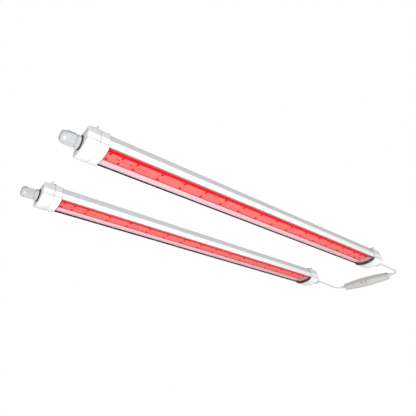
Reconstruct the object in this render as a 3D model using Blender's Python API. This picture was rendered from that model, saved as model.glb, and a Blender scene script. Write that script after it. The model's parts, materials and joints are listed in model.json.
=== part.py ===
"""Two vapour-tight LED light tubes, linked at one end by a cable with an in-line driver.

Metres, +Z up, +X along the tubes.  The origin is on the surface that the tubes lie on, midway between
them and halfway along them.  The clear windows face down.  An end piece is drawn in its end's own frame:
x = 0 on the cap's outer face, +x pointing away from the tube, y = 0 on the tube's axis, z as in the world.
"""

from math import asin, cos, pi, radians, sin

import bmesh
import bpy
from mathutils import Vector

# The two tubes
TUBE_LENGTH = 1.200  # over the end caps
TUBE_SPACING = 0.300  # axis to axis
GAP = 0.0003  # left between pieces that touch

# Cross-section of a tube's body
HALF_WIDTH = 0.0415
KNEE_HEIGHT = 0.0175  # where the lens meets the housing
LENS_DEPTH = 0.015  # of the half ellipse below the knee
SHOULDER_HEIGHT = 0.0353  # where the wall starts to bend in
SHOULDER_RADIUS = 0.030
BODY_TOP = 0.055
WALL = 0.002
CAP_PROUD = 0.0025  # caps and collars stand out this much from the body
LENS_STEPS = 14
SHOULDER_STEPS = 3

# Caps and collars
CAP_LENGTH = 0.031
COLLAR_LENGTH = 0.0212
END_LENGTH = CAP_LENGTH + GAP + COLLAR_LENGTH
BODY_OVERLAP = 0.0175  # of housing and lens inside the collar
CLEAR_HALF_LENGTH = 0.540  # of the housing at its full height, clear of the collars and of the folded bails
END_RELIEF = 0.0003  # the housing is this much smaller all round at its ends
CAP_EDGE = 0.002
GROOVE_EDGE = 0.0005
END_WALL = 0.003

# What is inside the window
SEAL_HEIGHT = 0.001
SEAL_WIDTH = 0.0047
RING_THICKNESS = 0.0027
RING_WIDTH = 0.006
PLATE_THICKNESS = 0.002
BOARD_HALF_WIDTH = 0.0186
BOARD_FACE = 0.0226  # height of the face that carries the LEDs
BOARD_THICKNESS = 0.0016
TRAY_THICKNESS = 0.001
TRAY_RIM = 0.0026
INNER_LENGTH = TUBE_LENGTH - 2 * (END_LENGTH + RING_THICKNESS + 3 * GAP)
LED_ROW = 0.0121  # from the board's centre line
LED_SIZE = 0.005
LED_HEIGHT = 0.0014
LED_PITCH = 0.0706
LED_GAPS = (0.45, 0.575) + (1.0,) * 13 + (0.575, 0.45)  # in pitches, from end to end

# Cable gland, on the tube's axis
GLAND_HEIGHT = 0.0285
GASKET_RADIUS = 0.018
SHANK_RADIUS = 0.0123
SHANK_BORE = 0.0088
SHANK_DEPTH = 0.012
NUT_START = 0.0143
NUT_CORNER = 0.0177
GLAND_END = 0.046
INSERT_RADIUS = 0.0083
CABLE_BORE = 0.0038
TURNED_STEPS = 18

# Hanger
LUG_X = -0.023
LUG_Y = 0.0275
LUG_THICKNESS = 0.004
LUG_RADIUS = 0.0045
PIVOT_HEIGHT = 0.0673
WIRE_RADIUS = 0.0015
BAIL_ARM = 0.0232  # from the axis to each arm
BAIL_REACH = 0.032
BAIL_DROP = 0.0081
BAIL_CORNER = 0.008
BAIL_FOOT_CORNER = 0.0022

# Driver on the cable
DRIVER_CENTRE = (0.7990, -0.0020, 0.0180)
DRIVER_HALF_LENGTH = 0.104
DRIVER_HALF_WIDTH = (0.012, 0.022)  # at the ends, in the middle
DRIVER_HALF_HEIGHT = (0.0132, 0.0178)
DRIVER_WALL = 0.002
DRIVER_STATIONS = 8
DRIVER_STEPS = 16
DRIVER_SQUARENESS = 0.62  # exponent of the rounded section, 1 is an ellipse
BOOT_LENGTH = 0.020
BOOT_HOLE = 0.0066
BOOT_RISE = 0.0025  # of the cables above the middle of the case

# Cable routes, from a tube's terminal block to the inside of the driver
CABLE_RADIUS = 0.0031
CABLE_SPACING = 0.016
ROUTE_A = [
    (0.5725, -0.1500, 0.0285), (0.6000, -0.1500, 0.0285), (0.6250, -0.1500, 0.0285),
    (0.6500, -0.1500, 0.0285), (0.6750, -0.1502, 0.0283), (0.7000, -0.1509, 0.0275),
    (0.7250, -0.1519, 0.0260), (0.7500, -0.1527, 0.0242), (0.7740, -0.1530, 0.0226),
    (0.7836, -0.1511, 0.0219), (0.7917, -0.1457, 0.0212), (0.7971, -0.1376, 0.0207),
    (0.7990, -0.1280, 0.0205), (0.7990, -0.1150, 0.0205), (0.7990, -0.1000, 0.0205),
    (0.7990, -0.0856, 0.0205),
]
ROUTE_B = [
    (0.5725, 0.1500, 0.0285), (0.6000, 0.1500, 0.0285), (0.6250, 0.1500, 0.0285),
    (0.6500, 0.1500, 0.0285), (0.6750, 0.1499, 0.0283), (0.7000, 0.1497, 0.0275),
    (0.7250, 0.1494, 0.0260), (0.7500, 0.1491, 0.0242), (0.7740, 0.1490, 0.0226),
    (0.7836, 0.1471, 0.0219), (0.7917, 0.1417, 0.0212), (0.7971, 0.1336, 0.0207),
    (0.7990, 0.1240, 0.0205), (0.7990, 0.1110, 0.0205), (0.7990, 0.0960, 0.0205),
    (0.7990, 0.0816, 0.0205),
]


# Meshes


def finish_mesh(name, bm, smooth_angle=35):
    """Turn a bmesh into a mesh whose faces point out, smooth where they meet at a small angle."""
    bmesh.ops.recalc_face_normals(bm, faces=bm.faces)
    mesh = bpy.data.meshes.new(name)
    bm.to_mesh(mesh)
    bm.free()
    mesh.shade_smooth()
    mesh.set_sharp_from_angle(angle=radians(smooth_angle))
    return mesh


def skin(name, loops, ring=False, smooth_angle=35):
    """Join loops of points with faces.  A ring joins its last loop to its first, others get end faces."""
    bm = bmesh.new()
    rows = []
    for loop in loops:
        rows.append([bm.verts.new(point) for point in loop])
    count = len(rows[0])
    following = rows[1:] + rows[:1] if ring else rows[1:]
    for row, next_row in zip(rows, following):
        for i in range(count):
            j = (i + 1) % count
            bm.faces.new((row[i], row[j], next_row[j], next_row[i]))
    if not ring:
        bm.faces.new(rows[0])
        bm.faces.new(rows[-1])
    return finish_mesh(name, bm, smooth_angle)


def prism_x(name, outline, start, end):
    """Extrude an outline of (y, z) points along X."""
    return skin(name, [[(x, y, z) for y, z in outline] for x in (start, end)])


def prism_y(name, outline, start, end):
    """Extrude an outline of (x, z) points along Y."""
    return skin(name, [[(x, y, z) for x, z in outline] for y in (start, end)])


def turned_x(name, profile, height=0.0, steps=TURNED_STEPS):
    """Turn a closed profile of (x, radius, six_sided) points about the X line at this height."""
    loops = []
    for x, radius, six_sided in profile:
        loop = []
        for i in range(steps):
            angle = 2 * pi * i / steps
            from_flat = angle % (pi / 3) - pi / 6
            reach = radius * cos(pi / 6) / cos(from_flat) if six_sided else radius
            loop.append((x, reach * cos(angle), height + reach * sin(angle)))
        loops.append(loop)
    return skin(name, loops, ring=True, smooth_angle=25)


def rod(name, start, end, radius, steps=TURNED_STEPS):
    """A plain round bar between two points."""
    start = Vector(start)
    turn = (Vector(end) - start).to_track_quat("Z", "Y")
    length = (Vector(end) - start).length
    loops = []
    for along in (0, length):
        angles = [2 * pi * i / steps for i in range(steps)]
        loops.append([start + turn @ Vector((radius * cos(a), radius * sin(a), along)) for a in angles])
    return skin(name, loops)


def block(name, low, high):
    """A box between two corners."""
    outline = [(low[1], low[2]), (high[1], low[2]), (high[1], high[2]), (low[1], high[2])]
    return prism_x(name, outline, low[0], high[0])


# Objects and materials


def material(name, colour, roughness, metallic=0.0, transmission=0.0):
    """A Principled material."""
    made = bpy.data.materials.new(name)
    made.use_nodes = True
    shader = made.node_tree.nodes["Principled BSDF"]
    shader.inputs["Base Color"].default_value = (*colour, 1.0)
    shader.inputs["Roughness"].default_value = roughness
    shader.inputs["Metallic"].default_value = metallic
    shader.inputs["Transmission Weight"].default_value = transmission
    return made


def place(name, data, finish, parent, location=(0, 0, 0)):
    """Put a mesh or a curve in the scene under its parent."""
    placed = bpy.data.objects.new(name, data)
    bpy.context.scene.collection.objects.link(placed)
    if finish is not None:
        data.materials.append(finish)
    placed.parent = parent
    placed.location = location
    return placed


def frame_empty(name, parent, location, turn=0.0):
    """An empty whose frame other pieces are drawn in."""
    empty = place(name, None, None, parent, location)
    empty.rotation_euler = (0, 0, turn)
    return empty


def combine(target, tool_mesh, operation, tool_name):
    """Cut a tool out of a piece, or join it on.  The tool stays as a hidden guide."""
    tool = place(tool_name, tool_mesh, None, target.parent, target.location)
    tool.hide_render = True
    tool.display_type = "WIRE"
    step = target.modifiers.new(tool_name, "BOOLEAN")
    step.operation = operation
    step.object = tool


def joined(name, meshes):
    """Several meshes as one, for a tool with separate bodies."""
    bm = bmesh.new()
    for mesh in meshes:
        bm.from_mesh(mesh)
    return finish_mesh(name, bm)


# Cross-section of a tube


def lens_arc(grow):
    """The half ellipse below the knee, from the -Y side to the +Y side."""
    angles = [pi + pi * i / LENS_STEPS for i in range(LENS_STEPS + 1)]
    across = HALF_WIDTH + grow
    down = LENS_DEPTH + grow
    return [(across * cos(a), KNEE_HEIGHT + down * sin(a)) for a in angles]


def shoulder(grow, side):
    """The bend from the upright wall to the edge of the flat top, on one side."""
    radius = SHOULDER_RADIUS + grow
    centre = HALF_WIDTH - SHOULDER_RADIUS
    sweep = asin((BODY_TOP + grow - SHOULDER_HEIGHT) / radius)
    angles = [sweep * i / SHOULDER_STEPS for i in range(SHOULDER_STEPS + 1)]
    return [(side * (centre + radius * cos(a)), SHOULDER_HEIGHT + radius * sin(a)) for a in angles]


def body_outline(grow):
    """The whole closed section, grown outwards by this much."""
    return lens_arc(grow) + shoulder(grow, 1) + shoulder(grow, -1)[::-1]


def section(x, grow):
    """The body's outline as a loop of points at one place along X."""
    return [(x, y, z) for y, z in body_outline(grow)]


def channel_outline(outer, inner):
    """Section of a bent sheet, from its outer and inner lines."""
    return outer + inner[::-1]


# Pieces that run along a tube


def housing_line(grow):
    """Section of the housing's inner or outer surface, from foot to foot over the flat top."""
    foot = KNEE_HEIGHT + SEAL_HEIGHT / 2 + GAP
    edge = HALF_WIDTH + grow
    return [(edge, foot)] + shoulder(grow, 1) + shoulder(grow, -1)[::-1] + [(-edge, foot)]


def housing_mesh(name):
    """Extruded channel with a flat top, open at the bottom, turned down a little at its ends to enter the collars."""
    half = TUBE_LENGTH / 2 - END_LENGTH + BODY_OVERLAP
    clear = CLEAR_HALF_LENGTH
    ends = [(-half, END_RELIEF), (-clear - END_RELIEF, END_RELIEF), (-clear, 0)]
    loops = []
    for x, relief in ends + [(-x, relief) for x, relief in ends[::-1]]:
        outline = channel_outline(housing_line(-relief), housing_line(-WALL))
        loops.append([(x, y, z) for y, z in outline])
    return skin(name, loops)


def lens_mesh(name):
    """Clear cover, half an ellipse in section."""
    lip = KNEE_HEIGHT - SEAL_HEIGHT / 2 - GAP
    lines = []
    for grow in (0, -WALL):
        arc = lens_arc(grow)
        edge = HALF_WIDTH + grow
        lines.append([(-edge, lip)] + [p for p in arc if p[1] < lip] + [(edge, lip)])
    half = TUBE_LENGTH / 2 - END_LENGTH + BODY_OVERLAP
    return prism_x(name, channel_outline(*lines), -half, half)


def seam_seal_mesh(name, side):
    """Rubber strip between the lens's edge and the housing's foot."""
    outer = side * (HALF_WIDTH - GAP)
    inner = side * (HALF_WIDTH - GAP - SEAL_WIDTH)
    low = KNEE_HEIGHT - SEAL_HEIGHT / 2
    half = INNER_LENGTH / 2
    return block(name, (-half, min(outer, inner), low), (half, max(outer, inner), low + SEAL_HEIGHT))


def tray_mesh(name):
    """Folded sheet: a channel for the board, a sloping wing on each side and a flat rim."""
    rim = KNEE_HEIGHT + SEAL_HEIGHT / 2 + GAP
    seat = BOARD_HALF_WIDTH + 2 * GAP
    roof = BOARD_FACE + BOARD_THICKNESS + GAP
    edge = HALF_WIDTH - WALL - 1.5 * GAP
    lower = [(edge, rim), (edge - TRAY_RIM, rim), (seat, BOARD_FACE), (seat, roof)]
    step = TRAY_THICKNESS
    upper = [
        (edge, rim + step), (edge - TRAY_RIM, rim + step),
        (seat + step, BOARD_FACE + step), (seat + step, roof + step),
    ]
    mirror = lambda line: [(-y, z) for y, z in line[::-1]]
    return prism_x(name, channel_outline(lower + mirror(lower), upper + mirror(upper)),
                   -INNER_LENGTH / 2, INNER_LENGTH / 2)


def led_places():
    """Places of the LEDs along the board."""
    x = -sum(LED_GAPS) * LED_PITCH / 2
    places = [x]
    for gap in LED_GAPS:
        x += gap * LED_PITCH
        places.append(x)
    return places


def led_board(name, finish, parent):
    """Circuit board with its LEDs standing down from it in two rows."""
    half = INNER_LENGTH / 2 - GAP
    plate = block(name, (-half, -BOARD_HALF_WIDTH, BOARD_FACE),
                  (half, BOARD_HALF_WIDTH, BOARD_FACE + BOARD_THICKNESS))
    board = place(name, plate, finish, parent)
    chips = []
    reach = LED_SIZE / 2
    for x in led_places():
        for y in (-LED_ROW, LED_ROW):
            low = (x - reach, y - reach, BOARD_FACE - LED_HEIGHT)
            high = (x + reach, y + reach, BOARD_FACE + BOARD_THICKNESS / 2)
            chips.append(block("chip", low, high))
    combine(board, joined(name + "_chips", chips), "UNION", name + "_chips")
    return board


# Pieces at a tube's end


def end_seal_mesh(name):
    """Rubber ring just inside the window's end."""
    start = -END_LENGTH - GAP - RING_THICKNESS
    end = -END_LENGTH - GAP
    outer = -WALL - GAP
    inner = outer - RING_WIDTH
    loops = [section(start, outer), section(end, outer), section(end, inner), section(start, inner)]
    return skin(name, loops, ring=True)


def end_plate_mesh(name):
    """Bulkhead across the end of the body."""
    start = -END_LENGTH
    return skin(name, [section(start, -WALL - GAP), section(start + PLATE_THICKNESS, -WALL - GAP)])


def collar_mesh(name):
    """Sleeve over the ends of housing and lens."""
    start = -END_LENGTH
    end = -CAP_LENGTH - GAP
    loops = [
        section(start, CAP_PROUD - GROOVE_EDGE), section(start + GROOVE_EDGE, CAP_PROUD),
        section(end - GROOVE_EDGE, CAP_PROUD), section(end, CAP_PROUD - GROOVE_EDGE),
        section(end, GAP), section(start, GAP),
    ]
    return skin(name, loops, ring=True)


def lug_mesh(name, side):
    """Ear with a round top for one foot of the bail."""
    base = BODY_TOP + CAP_PROUD - WALL / 2
    angles = [pi * i / 8 for i in range(9)]
    outline = [(LUG_X - LUG_RADIUS, base), (LUG_X + LUG_RADIUS, base)]
    outline += [(LUG_X + LUG_RADIUS * cos(a), PIVOT_HEIGHT + LUG_RADIUS * sin(a)) for a in angles]
    middle = side * LUG_Y
    return prism_y(name, outline, middle - LUG_THICKNESS / 2, middle + LUG_THICKNESS / 2)


def end_cap(name, finish, parent):
    """Closed cap with a hole for the gland and two lugs on top."""
    edge = CAP_EDGE
    loops = [
        section(-END_WALL, GAP), section(-CAP_LENGTH, GAP),
        section(-CAP_LENGTH, CAP_PROUD - GROOVE_EDGE), section(-CAP_LENGTH + GROOVE_EDGE, CAP_PROUD),
        section(-edge, CAP_PROUD), section(-0.3 * edge, CAP_PROUD - 0.3 * edge), section(0, CAP_PROUD - edge),
    ]
    cap = place(name, skin(name, loops), finish, parent)
    lugs = joined(name + "_lugs", [lug_mesh("lug", side) for side in (-1, 1)])
    combine(cap, lugs, "UNION", name + "_lugs")
    across = LUG_Y + LUG_THICKNESS
    pin_hole = rod("pin", (LUG_X, -across, PIVOT_HEIGHT), (LUG_X, across, PIVOT_HEIGHT),
                   WIRE_RADIUS + GAP, 12)
    gland_hole = rod("hole", (-2 * END_WALL, 0, GLAND_HEIGHT), (END_WALL, 0, GLAND_HEIGHT), SHANK_RADIUS + GAP)
    combine(cap, joined(name + "_holes", [pin_hole, gland_hole]), "DIFFERENCE", name + "_holes")
    return cap


def terminal_block(name, finish, parent):
    """Connector behind the bulkhead, with a hole for each of three conductors."""
    start = -END_LENGTH + PLATE_THICKNESS + GAP
    end = -CAP_LENGTH
    half = 0.011
    body = block(name, (start, -half, GLAND_HEIGHT - 0.008), (end, half, GLAND_HEIGHT + 0.008))
    placed = place(name, body, finish, parent)
    holes = []
    for y in (-0.007, 0.0, 0.007):
        holes.append(rod("way", (end - 0.009, y, GLAND_HEIGHT), (end + 0.002, y, GLAND_HEIGHT), 0.0021, 8))
    combine(placed, joined(name + "_ways", holes), "DIFFERENCE", name + "_ways")
    return placed


def gasket_mesh(name):
    """Flat rubber washer between the cap and the gland."""
    inner = SHANK_RADIUS + GAP
    start = GAP
    end = 0.0028
    profile = [(start, GASKET_RADIUS, False), (end, GASKET_RADIUS, False), (end, inner, False), (start, inner, False)]
    return turned_x(name, profile, GLAND_HEIGHT)


def gland_body_mesh(name):
    """Threaded shank through the cap, hexagon outside it, and the spigot that the nut turns on."""
    hexagon_start = 0.0031
    hexagon_end = 0.011
    corner = 0.0174
    flat = corner * cos(pi / 6)
    spigot_end = 0.026
    profile = [
        (-SHANK_DEPTH, SHANK_RADIUS, False), (hexagon_start, SHANK_RADIUS, False),
        (hexagon_start, flat, False), (hexagon_start + 0.0012, corner, True),
        (hexagon_end - 0.0012, corner, True), (hexagon_end, flat, False),
        (hexagon_end, 0.014, False), (NUT_START - GAP, 0.014, False), (NUT_START - GAP, 0.0125, False),
        (spigot_end, 0.0125, False), (spigot_end, SHANK_BORE, False), (-SHANK_DEPTH, SHANK_BORE, False),
    ]
    return turned_x(name, profile, GLAND_HEIGHT)


def gland_insert_mesh(name):
    """Rubber sleeve that seals round the cable."""
    start = 0.0155
    end = 0.0400
    profile = [
        (start, INSERT_RADIUS, False), (end - 0.001, INSERT_RADIUS, False), (end, INSERT_RADIUS - 0.001, False),
        (end, CABLE_BORE, False), (start, CABLE_BORE, False),
    ]
    return turned_x(name, profile, GLAND_HEIGHT)


def gland_nut_mesh(name):
    """Six-sided clamping nut with a domed nose, drawn about its own axis."""
    flat = NUT_CORNER * cos(pi / 6)
    hexagon_end = 0.0345
    profile = [
        (NUT_START, flat, False), (NUT_START + 0.0015, NUT_CORNER, True), (hexagon_end, NUT_CORNER, True),
        (hexagon_end + 0.0022, flat, False), (hexagon_end + 0.0070, 0.0136, False),
        (GLAND_END - 0.0015, 0.0121, False), (GLAND_END, 0.0106, False), (GLAND_END, 0.0062, False),
        (0.0416, 0.0062, False), (0.0404, 0.0091, False), (0.0290, 0.0091, False),
        (0.0270, 0.0129, False), (NUT_START, 0.0129, False),
    ]
    return turned_x(name, profile)


def arc_corner(before, corner, after, radius, steps):
    """Points of a right-angled bend that replaces a corner, inside the two lines that meet there."""
    corner = Vector(corner)
    back = (Vector(before) - corner).normalized() * radius
    ahead = (Vector(after) - corner).normalized() * radius
    points = []
    for i in range(steps + 1):
        angle = pi / 2 * i / steps
        points.append(corner + back * (1 - sin(angle)) + ahead * (1 - cos(angle)))
    return points


def bail_curve(name):
    """Wire loop drawn about its own pivot line, folded in towards the middle of the tube."""
    foot = LUG_Y + LUG_THICKNESS / 2 + 2 * GAP
    reach = (-BAIL_REACH, -BAIL_DROP)
    corners = [
        (0, -foot, 0), (0, -BAIL_ARM, 0), (reach[0], -BAIL_ARM, reach[1]),
        (reach[0], BAIL_ARM, reach[1]), (0, BAIL_ARM, 0), (0, foot, 0),
    ]
    points = [Vector(corners[0])]
    for before, corner, after in zip(corners, corners[1:], corners[2:]):
        radius = BAIL_CORNER if corner[0] else BAIL_FOOT_CORNER
        points += arc_corner(before, corner, after, radius, 3)
    points.append(Vector(corners[-1]))
    return round_curve(name, points, WIRE_RADIUS, 2)


# Driver and cables


def round_curve(name, points, radius, resolution):
    """A round bar or cable that follows these points, closed at both ends."""
    curve = bpy.data.curves.new(name, "CURVE")
    curve.dimensions = "3D"
    curve.bevel_depth = radius
    curve.bevel_resolution = resolution
    curve.use_fill_caps = True
    spline = curve.splines.new("POLY")
    spline.points.add(len(points) - 1)
    for target, point in zip(spline.points, points):
        target.co = (*point, 1)
    return curve


def smooth_points(route, spacing):
    """Points at about this spacing along a Catmull-Rom curve through the route."""
    route = [Vector(point) for point in route]
    padded = [2 * route[0] - route[1]] + route + [2 * route[-1] - route[-2]]
    points = []
    for a, b, c, d in zip(padded, padded[1:], padded[2:], padded[3:]):
        steps = max(1, round((c - b).length / spacing))
        for i in range(steps):
            t = i / steps
            points.append(0.5 * ((2 * b) + (c - a) * t + (2 * a - 5 * b + 4 * c - d) * t ** 2
                                 + (3 * b - a - 3 * c + d) * t ** 3))
    return points + [route[-1]]


def driver_loops(inset, end_inset):
    """Sections of the case, rounded rectangles that are fullest in the middle."""
    loops = []
    for i in range(DRIVER_STATIONS + 1):
        t = 2 * i / DRIVER_STATIONS - 1
        fullness = cos(pi / 2 * t) ** 0.8 if abs(t) < 1 else 0.0
        width, height = (ends + (middle - ends) * fullness - inset
                         for ends, middle in (DRIVER_HALF_WIDTH, DRIVER_HALF_HEIGHT))
        loop = []
        for k in range(DRIVER_STEPS):
            angle = 2 * pi * k / DRIVER_STEPS
            across, up = cos(angle), sin(angle)
            x = width * abs(across) ** DRIVER_SQUARENESS * (1 if across > 0 else -1)
            z = height * abs(up) ** DRIVER_SQUARENESS * (1 if up > 0 else -1)
            loop.append((x, t * (DRIVER_HALF_LENGTH - end_inset), z))
        loops.append(loop)
    return loops


def driver_shell(name, finish, parent, side):
    """One half of the case: the upper half for side 1, the lower for side -1."""
    shell = place(name, skin(name, driver_loops(0, 0)), finish, parent)
    inside = skin("inside", driver_loops(DRIVER_WALL, DRIVER_WALL))
    combine(shell, inside, "DIFFERENCE", name + "_inside")
    reach = 0.2
    split = side * GAP / 2
    heights = sorted((split, split - side * reach))
    other_half = block("other_half", (-reach, -reach, heights[0]), (reach, reach, heights[1]))
    combine(shell, other_half, "DIFFERENCE", name + "_other_half")
    hole = rod("hole", (0, -reach, BOOT_RISE), (0, reach, BOOT_RISE), BOOT_HOLE)
    combine(shell, hole, "DIFFERENCE", name + "_holes")
    return shell


def boot_mesh(name):
    """Tapered strain relief with a flange inside the case, drawn along +Y from the case's end face."""
    inside = -DRIVER_WALL - GAP
    neck = BOOT_HOLE - GAP
    ribs = []
    profile = [
        (inside - 0.002, 0.0080), (inside, 0.0080), (inside, neck), (GAP, neck), (GAP, 0.0080),
        (0.004, 0.0080), (0.006, 0.0070), (BOOT_LENGTH, 0.0055), (BOOT_LENGTH, CABLE_BORE),
        (inside - 0.002, CABLE_BORE),
    ]
    steps = 12
    for y, radius in profile:
        angles = [2 * pi * i / steps for i in range(steps)]
        ribs.append([(radius * sin(a), y, radius * cos(a)) for a in angles])
    return skin(name, ribs, ring=True)


def build_driver(finishes):
    """The in-line case with its electronics, its strain reliefs and the two cables."""
    driver = frame_empty("driver_frame", None, DRIVER_CENTRE)
    driver_shell("driver_shell_top", finishes["driver_case"], driver, 1)
    driver_shell("driver_shell_bottom", finishes["driver_case_bottom"], driver, -1)
    board = block("driver_board", (-0.011, -0.070, -0.0080), (0.011, 0.070, -0.0064))
    place("driver_board", board, finishes["driver_board"], driver)
    transformer = block("driver_transformer", (-0.010, -0.016, -0.0061), (0.010, 0.016, 0.0100))
    place("driver_transformer", transformer, finishes["transformer"], driver)
    for letter, side in (("a", -1), ("b", 1)):
        name = "driver_boot_" + letter
        exit_place = (0, side * DRIVER_HALF_LENGTH, BOOT_RISE)
        boot = place(name, boot_mesh(name), finishes["driver_boot"], driver, exit_place)
        boot.rotation_euler = (0, 0, 0 if side > 0 else pi)
    for letter, route in (("a", ROUTE_A), ("b", ROUTE_B)):
        name = "link_cable_" + letter
        cable = round_curve(name, smooth_points(route, CABLE_SPACING), CABLE_RADIUS, 2)
        place(name, cable, finishes["cable"], None)


# The tubes


def build_end(letter, end, finishes, parent):
    """Everything at one end of a tube."""
    def named(piece):
        return f"{piece}_{end}_{letter}"

    place(named("end_seal"), end_seal_mesh(named("end_seal")), finishes["seal"], parent)
    place(named("end_plate"), end_plate_mesh(named("end_plate")), finishes["end_plate"], parent)
    place(named("collar"), collar_mesh(named("collar")), finishes["collar"], parent)
    end_cap(named("end_cap"), finishes["end_cap"], parent)
    terminal_block(named("terminal_block"), finishes["terminal_block"], parent)
    place(named("gland_gasket"), gasket_mesh(named("gland_gasket")), finishes["gasket"], parent)
    place(named("gland_body"), gland_body_mesh(named("gland_body")), finishes["gland"], parent)
    place(named("gland_insert"), gland_insert_mesh(named("gland_insert")), finishes["gland_insert"], parent)
    nut = gland_nut_mesh(named("gland_nut"))
    place(named("gland_nut"), nut, finishes["gland_nut"], parent, (0, 0, GLAND_HEIGHT))
    bail = bail_curve(named("hanger_bail"))
    place(named("hanger_bail"), bail, finishes["wire"], parent, (LUG_X, 0, PIVOT_HEIGHT))


def build_tube(letter, y, finishes):
    """One tube with both of its ends."""
    tube = frame_empty("tube_" + letter, None, (0, y, 0))
    place("housing_" + letter, housing_mesh("housing_" + letter), finishes["housing"], tube)
    place("lens_cover_" + letter, lens_mesh("lens_cover_" + letter), finishes["lens"], tube)
    for word, side in (("left", -1), ("right", 1)):
        name = f"seam_seal_{word}_{letter}"
        place(name, seam_seal_mesh(name, side), finishes["seal"], tube)
    place("reflector_tray_" + letter, tray_mesh("reflector_tray_" + letter), finishes["reflector"], tube)
    led_board("led_board_" + letter, finishes["led_board"], tube)
    for end, side in (("near", -1), ("far", 1)):
        turn = 0 if side > 0 else pi
        parent = frame_empty(f"{end}_end_{letter}", tube, (side * TUBE_LENGTH / 2, 0, 0), turn)
        build_end(letter, end, finishes, parent)


def build_finishes():
    """One material for each kind of piece."""
    return {
        "housing": material("housing_white", (0.86, 0.86, 0.88), 0.30),
        "lens": material("lens_clear", (0.92, 0.94, 0.96), 0.05, transmission=1.0),
        "seal": material("seal_rubber", (0.05, 0.035, 0.04), 0.75),
        "reflector": material("reflector_white", (0.90, 0.86, 0.86), 0.35),
        "led_board": material("board_red_lit", (0.85, 0.20, 0.18), 0.45),
        "end_plate": material("end_plate_grey", (0.45, 0.45, 0.44), 0.55),
        "collar": material("collar_white", (0.88, 0.88, 0.88), 0.25),
        "end_cap": material("end_cap_white", (0.88, 0.88, 0.88), 0.25),
        "terminal_block": material("terminal_block_cream", (0.75, 0.72, 0.62), 0.50),
        "gasket": material("gasket_black", (0.02, 0.02, 0.02), 0.80),
        "gland": material("gland_grey", (0.72, 0.74, 0.75), 0.40),
        "gland_nut": material("gland_nut_grey", (0.72, 0.74, 0.75), 0.40),
        "gland_insert": material("gland_insert_dark", (0.15, 0.15, 0.16), 0.80),
        "wire": material("wire_dark_steel", (0.18, 0.18, 0.18), 0.35, metallic=1.0),
        "driver_case": material("driver_case_grey", (0.50, 0.48, 0.45), 0.50),
        "driver_case_bottom": material("driver_case_bottom_grey", (0.55, 0.53, 0.50), 0.50),
        "driver_board": material("driver_board_green", (0.05, 0.20, 0.08), 0.50),
        "transformer": material("transformer_tape", (0.70, 0.60, 0.15), 0.50),
        "driver_boot": material("driver_boot_grey", (0.35, 0.35, 0.34), 0.60),
        "cable": material("cable_light_grey", (0.78, 0.78, 0.78), 0.50),
    }


def main():
    for leftover in list(bpy.data.objects):
        bpy.data.objects.remove(leftover, do_unlink=True)
    finishes = build_finishes()
    for letter, side in (("a", -1), ("b", 1)):
        build_tube(letter, side * TUBE_SPACING / 2, finishes)
    build_driver(finishes)


main()
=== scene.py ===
"""Looks of two linked LED light tubes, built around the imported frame.

Metres, +Z up, +X along the tubes.  A piece that runs along a tube is drawn about that tube's own line
(y = 0 on the tube's axis), and an end piece in its end's own frame: x = 0 on the cap's outer face, +x
pointing away from the tube.  Both tubes and all four ends share these meshes.
"""

import json
from math import asin, cos, pi, radians, sin, tan

import bmesh
import bpy
from mathutils import Matrix, Vector

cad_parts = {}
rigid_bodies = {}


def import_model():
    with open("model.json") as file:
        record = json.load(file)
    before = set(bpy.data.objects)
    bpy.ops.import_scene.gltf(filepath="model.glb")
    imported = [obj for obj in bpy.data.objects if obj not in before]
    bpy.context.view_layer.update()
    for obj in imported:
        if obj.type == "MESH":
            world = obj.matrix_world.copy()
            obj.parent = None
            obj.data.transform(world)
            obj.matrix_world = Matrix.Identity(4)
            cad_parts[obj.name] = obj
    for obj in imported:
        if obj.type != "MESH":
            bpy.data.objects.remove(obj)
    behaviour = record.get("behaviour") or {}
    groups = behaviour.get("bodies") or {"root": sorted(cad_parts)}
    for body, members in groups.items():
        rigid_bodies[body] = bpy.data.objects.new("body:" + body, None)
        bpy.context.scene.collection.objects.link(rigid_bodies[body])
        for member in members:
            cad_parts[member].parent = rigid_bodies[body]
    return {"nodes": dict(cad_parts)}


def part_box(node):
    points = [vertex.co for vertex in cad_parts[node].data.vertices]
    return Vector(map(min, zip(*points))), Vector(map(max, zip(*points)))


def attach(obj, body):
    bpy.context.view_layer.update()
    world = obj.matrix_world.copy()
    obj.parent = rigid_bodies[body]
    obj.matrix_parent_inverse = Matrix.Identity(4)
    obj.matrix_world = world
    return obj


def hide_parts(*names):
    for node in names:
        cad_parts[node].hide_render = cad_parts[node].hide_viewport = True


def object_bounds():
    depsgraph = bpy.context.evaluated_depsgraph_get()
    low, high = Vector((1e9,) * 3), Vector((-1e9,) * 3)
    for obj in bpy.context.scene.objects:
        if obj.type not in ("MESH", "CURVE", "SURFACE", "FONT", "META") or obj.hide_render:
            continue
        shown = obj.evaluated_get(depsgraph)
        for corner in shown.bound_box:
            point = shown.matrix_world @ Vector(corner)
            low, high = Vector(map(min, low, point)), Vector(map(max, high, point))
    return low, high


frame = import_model()
cad_low, cad_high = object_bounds()

# Places and lengths read from the frame
CAP_LOW, CAP_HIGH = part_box("end_cap_far_a")
COLLAR_LOW, COLLAR_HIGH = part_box("collar_far_a")
HOUSING_LOW, HOUSING_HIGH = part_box("housing_a")
TUBE_Y = {"a": (HOUSING_LOW.y + HOUSING_HIGH.y) / 2, "b": -(HOUSING_LOW.y + HOUSING_HIGH.y) / 2}
END_X = CAP_HIGH.x
CAP_LENGTH = CAP_HIGH.x - CAP_LOW.x
COLLAR_START = COLLAR_LOW.x - END_X
COLLAR_END = COLLAR_HIGH.x - END_X
BODY_HALF_LENGTH = HOUSING_HIGH.x
INNER_HALF_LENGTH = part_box("reflector_tray_a")[1].x
HALF_WIDTH = (HOUSING_HIGH.y - HOUSING_LOW.y) / 2
BODY_TOP = HOUSING_HIGH.z

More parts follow.
